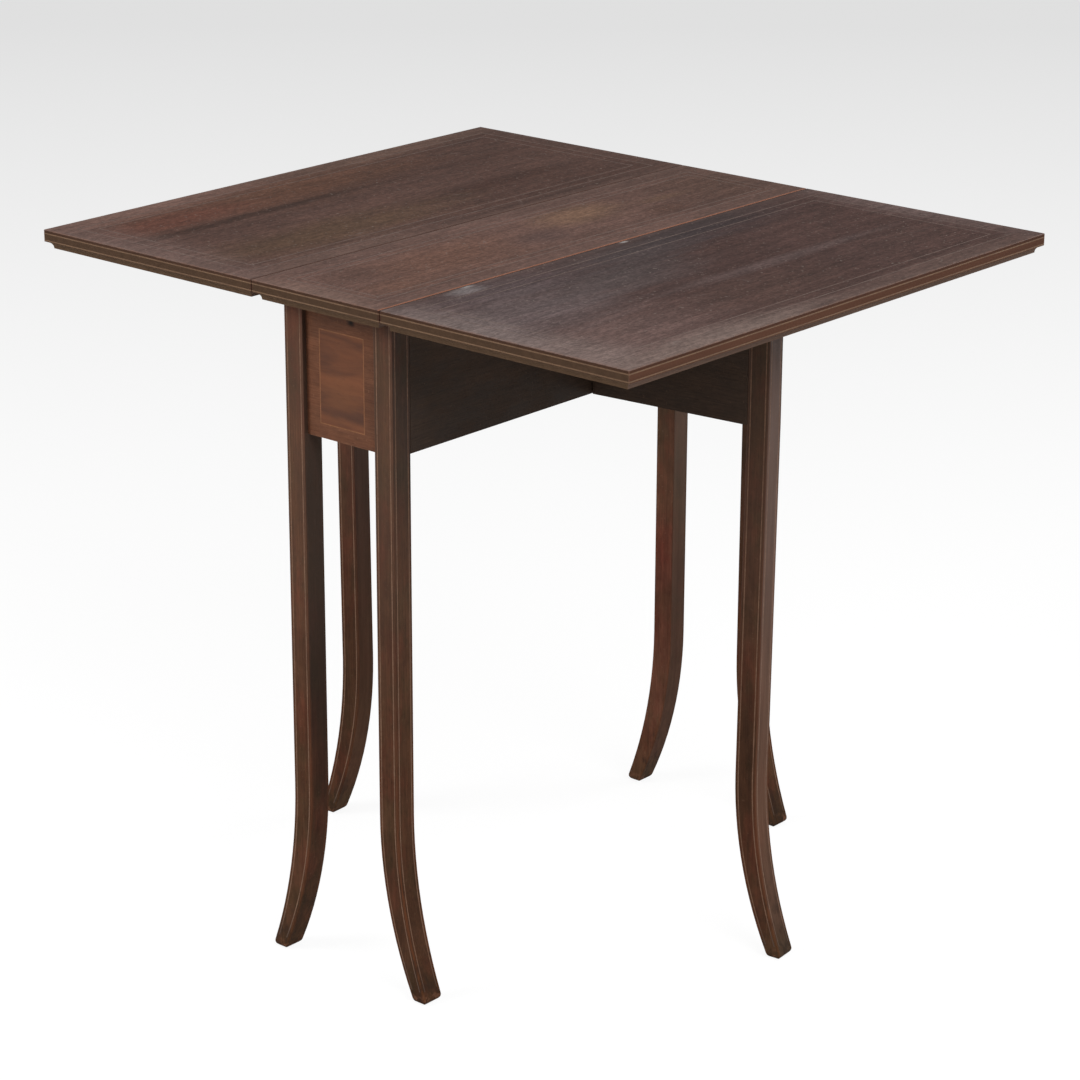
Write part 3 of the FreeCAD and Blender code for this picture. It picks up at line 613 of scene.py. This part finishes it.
# Mahogany darkened by painted shade, for the rails and gate arms under the leaves.
MAHOGANY_IN_PAINTED_SHADE = {"dark": (0.056, 0.0345, 0.0233), "light": (0.073, 0.0455, 0.0308), "warm": (0.071, 0.042, 0.0285),
          "wear": (0.12, 0.074, 0.05)}
PANEL = {"dark": (0.138, 0.0555, 0.0305), "light": (0.19, 0.08, 0.0435), "warm": (0.206, 0.079, 0.04),
         "wear": (0.26, 0.12, 0.065)}
BARE_BOARD = {"dark": (0.07, 0.038, 0.023), "light": (0.125, 0.073, 0.045), "warm": (0.115, 0.06, 0.034),
              "stain": (0.055, 0.031, 0.02)}
SECONDARY = {"dark": (0.13, 0.065, 0.03), "light": (0.24, 0.135, 0.065), "warm": (0.19, 0.1, 0.045),
             "stain": (0.1, 0.06, 0.035)}
FIGURE = {"dark": (0.088, 0.031, 0.0155), "light": (0.203, 0.069, 0.0275), "flame": (0.165, 0.058, 0.026),
          "glow": (0.21, 0.078, 0.03), "shadow": (0.075, 0.028, 0.016), "pores": (0.04, 0.012, 0.007)}

# Colours of the boards' edges and marks.
EDGES = {"side": (0.108, 0.046, 0.027), "end": (0.08, 0.044, 0.025), "lip": (0.06, 0.024, 0.014),
         "side cove": (0.175, 0.112, 0.084), "end cove": (0.14, 0.082, 0.047), "arris": (0.22, 0.112, 0.075),
         "border": (0.13, 0.088, 0.075), "worn": (0.2, 0.14, 0.12)}
PALE_SCRATCH = (0.22, 0.18, 0.165)
PALE_SPECK = (0.24, 0.19, 0.165)
# Painted shadow in the gaps between the boards.
SEAM_SHADOW = (0.014, 0.009, 0.008)

# Soft patches on the boards: centre, half size, colour and strength.
LEFT_LEAF_PATCHES = [
    ((-0.14, 0.16), (0.1, 0.22), (0.077, 0.04, 0.031), 0.75),
    ((-0.315, -0.06), (0.07, 0.3), (0.12, 0.056, 0.035), 0.9),
    ((-0.305, -0.21), (0.04, 0.15), (0.13, 0.049, 0.033), 0.8),
    ((-0.268, -0.14), (0.013, 0.25), (0.047, 0.025, 0.019), 0.85),
    ((-0.268, 0.17), (0.012, 0.2), (0.068, 0.035, 0.027), 0.65),
    ((-0.178, 0.13), (0.02, 0.16), (0.064, 0.031, 0.023), 0.65),
    ((-0.16, -0.14), (0.055, 0.24), (0.106, 0.061, 0.036), 0.78),
    ((-0.097, 0.13), (0.007, 0.19), (0.045, 0.023, 0.018), 0.75),
    ((-0.095, -0.2), (0.03, 0.17), (0.145, 0.087, 0.069), 0.65),
    ((-0.23, -0.325), (0.27, 0.07), (0.155, 0.096, 0.082), 0.85),
    ((-0.37, -0.2), (0.036, 0.24), (0.195, 0.11, 0.088), 0.85),
    ((-0.37, 0.15), (0.034, 0.24), (0.16, 0.093, 0.069), 0.8)]
CENTRE_PATCHES = [
    ((0.0, 0.28), (0.1, 0.13), (0.096, 0.053, 0.04), 0.9),
    ((0.0, -0.14), (0.07, 0.16), (0.15, 0.075, 0.052), 0.75),
    ((-0.02, 0.075), (0.04, 0.085), (0.19, 0.108, 0.069), 0.85),
    ((-0.005, 0.19), (0.012, 0.05), (0.15, 0.085, 0.056), 0.6),
    ((0.03, 0.16), (0.022, 0.04), (0.088, 0.046, 0.034), 0.75),
    ((0.014, -0.02), (0.035, 0.055), (0.108, 0.064, 0.055), 0.75),
    ((-0.026, -0.25), (0.026, 0.055), (0.09, 0.049, 0.038), 0.75),
    ((0.035, -0.25), (0.03, 0.07), (0.153, 0.077, 0.053), 0.65),
    ((0.0, -0.325), (0.11, 0.035), (0.185, 0.114, 0.09), 0.8)]
RIGHT_LEAF_PATCHES_AND_REFLECTIONS = [
    ((0.22, 0.33), (0.24, 0.05), (0.155, 0.105, 0.097), 0.8),
    ((0.3, 0.2), (0.09, 0.17), (0.081, 0.045, 0.038), 0.65),
    ((0.3, -0.03), (0.07, 0.15), (0.083, 0.046, 0.037), 0.75),
    ((0.3, -0.25), (0.1, 0.17), (0.145, 0.09, 0.079), 0.85),
    # Painted reflection: this and the next four grey patches over the leaf's inner half.
    ((0.106, 0.1), (0.055, 0.19), (0.043, 0.031, 0.032), 0.95),
    ((0.125, -0.03), (0.055, 0.14), (0.065, 0.049, 0.049), 0.85),
    ((0.175, -0.11), (0.065, 0.17), (0.081, 0.061, 0.059), 0.85),
    ((0.115, -0.2), (0.055, 0.18), (0.084, 0.059, 0.06), 0.85),
    ((0.19, -0.25), (0.085, 0.15), (0.13, 0.096, 0.094), 0.85),
    ((0.243, 0.06), (0.014, 0.25), (0.115, 0.075, 0.069), 0.85),
    ((0.2, -0.325), (0.22, 0.06), (0.195, 0.15, 0.14), 0.85),
    ((0.34, -0.31), (0.11, 0.06), (0.205, 0.147, 0.131), 0.8),
    ((0.37, -0.19), (0.034, 0.24), (0.205, 0.146, 0.126), 0.9),
    ((0.37, 0.15), (0.03, 0.24), (0.127, 0.078, 0.065), 0.75),
    # A painted highlight: the pale smear by the leaf's near inner corner and its bright core.
    ((0.0945, -0.222), (0.014, 0.03), (0.25, 0.225, 0.225), 0.6),
    ((0.0865, -0.211), (0.0045, 0.011), (0.4, 0.37, 0.36), 0.85),
    ((0.0868, 0.019), (0.004, 0.008), (0.48, 0.45, 0.43), 0.9)]

# Lines along the seams: place across the top, half width, colour and strength.
# The dark lines on the leaves' inner edges are painted shadow in the gaps.
LEFT_LEAF_SEAMS = [(-0.0837, 0.0018, (0.05, 0.018, 0.011), 0.7)]
# The orange line at the centre board's right edge is a painted highlight on its lit arris.
CENTRE_SEAMS = [(-0.0822, 0.0014, (0.18, 0.13, 0.11), 0.5), (0.082, 0.0018, (0.29, 0.118, 0.07), 0.8)]
RIGHT_LEAF_SEAMS = [(0.0838, 0.002, SEAM_SHADOW, 0.9)]

dress(["left_leaf_board"], board_wood("left leaf mahogany", "left_leaf_board", (0.0, 0.0, 0.0),
                                      (0.094, 0.05, 0.039), LEFT_LEAF_PATCHES, LEFT_LEAF_SEAMS, 0.42))
dress(["centre_board"], board_wood("centre board mahogany", "centre_board", (0.71, 0.35, 0.0),
                                   (0.126, 0.07, 0.056), CENTRE_PATCHES, CENTRE_SEAMS, 0.44))
dress(["right_leaf_board"], board_wood("right leaf mahogany", "right_leaf_board", (1.9, 0.8, 0.0),
                                       (0.073, 0.039, 0.033), RIGHT_LEAF_PATCHES_AND_REFLECTIONS, RIGHT_LEAF_SEAMS, 0.4))

# Tints and stains of the legs, the painted shade on their inner faces and a painted grey sheen high up.
RED_FLUSH = (1.2, 0.95, 0.97)
OLIVE_CAST = (0.83, 0.95, 0.9)
INNER_SHADE = (0.041, 0.0255, 0.0175)
PAINTED_GREY_SHEEN = (0.098, 0.066, 0.049)
DULL_FOOT = (0.8, 0.92, 0.86)
FOOT_GRIME = (0.032, 0.021, 0.016)
CHIPPED_TOE = (0.23, 0.105, 0.06)

# Colours by height above the floor: painted light and shade over a whole leg, the colours of its rubbed
# arrises, and painted light on the side that faces +X.
LEG_PAINTED_LIGHT_AND_SHADE = ((0.0, (0.98, 1.06, 1.13)), (0.1, (0.97, 1.05, 1.13)), (0.27, (0.8, 0.85, 0.9)),
             (0.52, (1.0, 1.03, 1.05)), (0.61, (1.15, 1.13, 1.14)))
FAR_LEFT_PAINTED_LIGHT_AND_SHADE = ((0.0, (1.05, 1.14, 1.22)), (0.1, (1.1, 1.08, 1.28)), (0.27, (1.05, 0.88, 1.1)),
                  (0.4, (0.94, 1.06, 1.1)), (0.5, (0.78, 0.96, 0.98)))
RIGHT_GATE_PAINTED_LIGHT_AND_SHADE = ((0.0, (0.98, 1.06, 1.13)), (0.1, (0.97, 1.05, 1.13)), (0.27, (0.88, 0.95, 1.02)),
                    (0.42, (1.1, 1.16, 1.3)), (0.55, (0.96, 1.08, 1.15)), (0.63, (0.8, 0.98, 0.98)))
RUBBED_ARRIS = ((0.05, (0.16, 0.055, 0.023)), (0.35, (0.125, 0.053, 0.031)), (0.6, (0.12, 0.064, 0.044)))
PALE_FLANK = ((0.02, (0.1, 0.06, 0.042)), (0.15, (0.19, 0.1, 0.066)), (0.45, (0.16, 0.098, 0.076)),
              (0.65, (0.17, 0.118, 0.103)))
LIT_FLANK = ((0.03, (0.14, 0.073, 0.043)), (0.2, (0.118, 0.06, 0.038)), (0.45, (0.112, 0.063, 0.045)),
             (0.6, (0.13, 0.082, 0.058)))
GREY_FLANK = ((0.08, (0.1, 0.06, 0.042)), (0.2, (0.088, 0.057, 0.04)), (0.35, (0.1, 0.072, 0.05)),
              (0.6, (0.125, 0.09, 0.074)))

# Each leg's place and look. Side is the way it splays, and inner is the way its face in painted shade looks.
near_leg = {"front": -FRAME_END, "outside": FRAME_SIDE}
far_leg = {"front": FRAME_END - LEG_WIDTH, "outside": FRAME_SIDE}
gate_leg = {"front": -LEG_WIDTH / 2, "outside": GATE_REACH, "knee": GATE_KNEE_SET_IN, "inner": 0.0}
leg_looks = {
    "near_left_leg": {**near_leg, "side": -1.0, "inner": 1.0, "tone": 1.3, "rubbed": 0.45},
    # The far-left leg's high tone, its lift and its colours by height and on its side are painted light.
    "far_left_leg": {**far_leg, "side": -1.0, "inner": 0.0, "tone": 1.86, "rubbed": 0.35,
                     "flank": GREY_FLANK, "lift": (0.84, 1.45), "tints": FAR_LEFT_PAINTED_LIGHT_AND_SHADE},
    # The near right leg's shade is a painted shadow of the right leaf on its outer side.
    "near_right_leg": {**near_leg, "side": 1.0, "inner": -1.0, "tone": 1.0, "rubbed": 0.85,
                       "shade": (0.72, 0.86, 0.98)},
    "far_right_leg": {**far_leg, "side": 1.0, "inner": -1.0, "tone": 1.0, "rubbed": 0.4},
    "left_gate_leg": {**gate_leg, "side": -1.0, "lean": LEFT_GATE_LEAN, "tone": 0.95, "rubbed": 0.4,
                      "flank": LIT_FLANK},
    "right_gate_leg": {**gate_leg, "side": 1.0, "lean": RIGHT_GATE_LEAN, "tone": 1.0, "rubbed": 0.6,
                       "rubbed high": 0.65, "flank": PALE_FLANK, "tints": RIGHT_GATE_PAINTED_LIGHT_AND_SHADE}}
for number, (leg, look) in enumerate(leg_looks.items()):
    dress([leg], leg_wood(leg.replace("_", " ") + " mahogany", (0.37 * number, 0.9 * number, 0.0), look))

dress_kind(("_fixed_rail", "_rail_block"),
           frame_wood("side rail mahogany", LENGTHWISE, (0.2, 0.1, 0.6), MAHOGANY_IN_PAINTED_SHADE, 0.5))
dress(["right_gate_arm"], frame_wood("right gate arm mahogany", (0.0, 0.0, math.pi / 2 - RIGHT_GATE_LEAN),
                                     (0.5, 0.3, 0.2), MAHOGANY_IN_PAINTED_SHADE, 0.5))
dress(["left_gate_arm"], frame_wood("left gate arm mahogany", (0.0, 0.0, LEFT_GATE_LEAN - math.pi / 2),
                                    (0.9, 0.6, 0.4), MAHOGANY_IN_PAINTED_SHADE, 0.5))
chip = ((0.013, -0.291, 0.679), (0.007, 0.006, 0.005), (0.012, 0.006, 0.004), 1.0)
for end, marks in (("near", [chip]), ("far", [])):
    dress([end + "_end_rail"], frame_wood(end + " end rail mahogany", CROSSWISE, (0.4, 0.2, 0.0), PANEL, 0.42,
                                          end + "_end_rail", marks))
    dress([end + "_end_veneer"], figured_wood(end + " figured mahogany", end + "_end_veneer"))
dress_kind("_inner_rail", plain_wood("inner rail wood", LENGTHWISE))
dress_kind("_corner_block", plain_wood("corner block wood", UPRIGHT))

dress_kind("_edge_stringing", string_wood("edge boxwood", (0.225, 0.132, 0.075), (0.19, 0.106, 0.058),
                                          (0.115, 0.058, 0.032)))
dress_kind("_border_stringing", string_wood("border boxwood", (0.2, 0.148, 0.128), (0.16, 0.112, 0.096),
                                            (0.085, 0.053, 0.044)))
dress_kind("_leg_stringing", string_wood("leg boxwood", (0.255, 0.138, 0.083), (0.205, 0.103, 0.06),
                                         (0.11, 0.048, 0.027), foot=(0.085, 0.048, 0.031)))
dress_kind("_end_stringing", string_wood("panel boxwood", (0.3, 0.118, 0.05), (0.25, 0.1, 0.04),
                                         (0.16, 0.062, 0.024)))
dress_kind("_flap", worn_metal("hinge brass", (0.55, 0.38, 0.16), (0.16, 0.1, 0.045), 0.28))
dress_kind(("_pin", "_screws"), worn_metal("old steel", (0.4, 0.39, 0.37), (0.14, 0.11, 0.09), 0.35))


def matt_grey(t, level):
    node = t.add("ShaderNodeBsdfDiffuse")
    node.inputs["Color"].default_value = (level, level, level, 1.0)
    return node.outputs[0]


def choose_shader(t, factor, first, second):
    node = t.add("ShaderNodeMixShader")
    t.link(factor, node.inputs["Fac"])
    t.link(first, node.inputs[1])
    t.link(second, node.inputs[2])
    return node.outputs[0]


def make_floor():
    """A pale floor that greys with distance behind the table and takes a faint shadow."""
    half_width = 20.0
    gap_below_feet = 0.0004
    away_from_camera = (-0.654, 0.756, 0.0)
    mesh = bpy.data.meshes.new("floor")
    sheet = bmesh.new()
    bmesh.ops.create_grid(sheet, x_segments=1, y_segments=1, size=half_width)
    bmesh.ops.translate(sheet, verts=sheet.verts, vec=(0.0, 0.0, -gap_below_feet))
    sheet.to_mesh(mesh)
    sheet.free()
    floor = bpy.data.objects.new("floor", mesh)
    scene.collection.objects.link(floor)
    material = bpy.data.materials.new("pale floor")
    material.use_nodes = True
    material.node_tree.nodes.clear()
    t = Tree(material.node_tree)
    away = t.add("ShaderNodeVectorMath", operation="DOT_PRODUCT")
    t.link(t.add("ShaderNodeTexCoord").outputs["Object"], away.inputs[0])
    away.inputs[1].default_value = away_from_camera
    shade = t.add("ShaderNodeMapRange")
    t.link(away.outputs["Value"], shade.inputs["Value"])
    shade.inputs["From Min"].default_value, shade.inputs["From Max"].default_value = 0.0, 5.0
    shade.inputs["To Min"].default_value, shade.inputs["To Max"].default_value = 0.9, 0.68
    backdrop = t.add("ShaderNodeEmission")
    t.link(shade.outputs["Result"], backdrop.inputs["Strength"])
    seen = t.add("ShaderNodeAddShader")
    t.link(backdrop.outputs[0], seen.inputs[0])
    t.link(matt_grey(t, 0.16), seen.inputs[1])
    path = t.add("ShaderNodeLightPath").outputs
    shown = t.math("MAXIMUM", path["Is Camera Ray"],
                   t.math("MAXIMUM", path["Is Glossy Ray"], path["Is Transmission Ray"]))
    bounce = matt_grey(t, 0.55)
    output = t.add("ShaderNodeOutputMaterial")
    t.link(choose_shader(t, shown, bounce, seen.outputs[0]), output.inputs["Surface"])
    mesh.materials.append(material)


def make_world():
    """Soft studio light all round, stronger from above than from the sides, in front of a pale wall."""
    world = bpy.data.worlds.new("studio")
    scene.world = world
    world.use_nodes = True
    world.node_tree.nodes.clear()
    t = Tree(world.node_tree)
    upward = t.split(t.add("ShaderNodeTexCoord").outputs["Generated"])["Z"]
    light = t.add("ShaderNodeBackground")
    t.link(t.ramp(upward, (0.25, 0.95), (0.12, 0.6)), light.inputs["Strength"])
    wall = t.add("ShaderNodeBackground")
    wall.inputs["Strength"].default_value = 0.8
    shown = t.add("ShaderNodeLightPath").outputs["Is Camera Ray"]
    output = t.add("ShaderNodeOutputWorld")
    t.link(choose_shader(t, shown, light.outputs[0], wall.outputs[0]), output.inputs["Surface"])


def add_lamp(name, place, target, size, power):
    lamp = bpy.data.lights.new(name, "AREA")
    lamp.shape = "DISK"
    lamp.size = size
    lamp.energy = power
    lamp_object = bpy.data.objects.new(name, lamp)
    scene.collection.objects.link(lamp_object)
    aim = (Vector(target) - Vector(place)).to_track_quat("-Z", "Y")
    lamp_object.matrix_world = Matrix.Translation(place) @ aim.to_matrix().to_4x4()


def make_camera():
    """The photograph's view: place, azimuth, elevation and a slight roll about the view's axis."""
    place = (2.0888, -2.4186, 1.5004)
    azimuth = math.radians(40.8714)
    elevation = math.radians(19.2356)
    roll = math.radians(0.1992)
    back = Vector((math.sin(azimuth) * math.cos(elevation), -math.cos(azimuth) * math.cos(elevation),
                   math.sin(elevation)))
    right = Vector((math.cos(azimuth), math.sin(azimuth), 0.0))
    up = back.cross(right)
    rolled_right = math.cos(roll) * right + math.sin(roll) * up
    rolled_up = math.cos(roll) * up - math.sin(roll) * right
    turn = Matrix((rolled_right, rolled_up, back)).transposed().to_4x4()
    camera = bpy.data.cameras.new("camera")
    camera.sensor_width = 36.0
    camera.lens = 109.67
    camera.clip_end = 100.0
    camera_object = bpy.data.objects.new("camera", camera)
    camera_object.matrix_world = Matrix.Translation(place) @ turn
    scene.collection.objects.link(camera_object)
    scene.camera = camera_object


make_floor()
make_world()
add_lamp("left softbox", (-1.6, -2.6, 2.3), (0.0, 0.0, 0.5), 1.8, 60.0)
add_lamp("right softbox", (2.6, -0.9, 2.9), (0.0, 0.0, 0.5), 2.4, 60.0)
add_lamp("back softbox", (1.6, 2.8, 1.8), (0.0, 0.0, 0.4), 1.8, 26.0)
add_lamp("overhead softbox", (0.2, 0.6, 2.9), (0.0, 0.0, 0.7), 2.0, 7.0)
make_camera()
scene.view_settings.view_transform = "Standard"
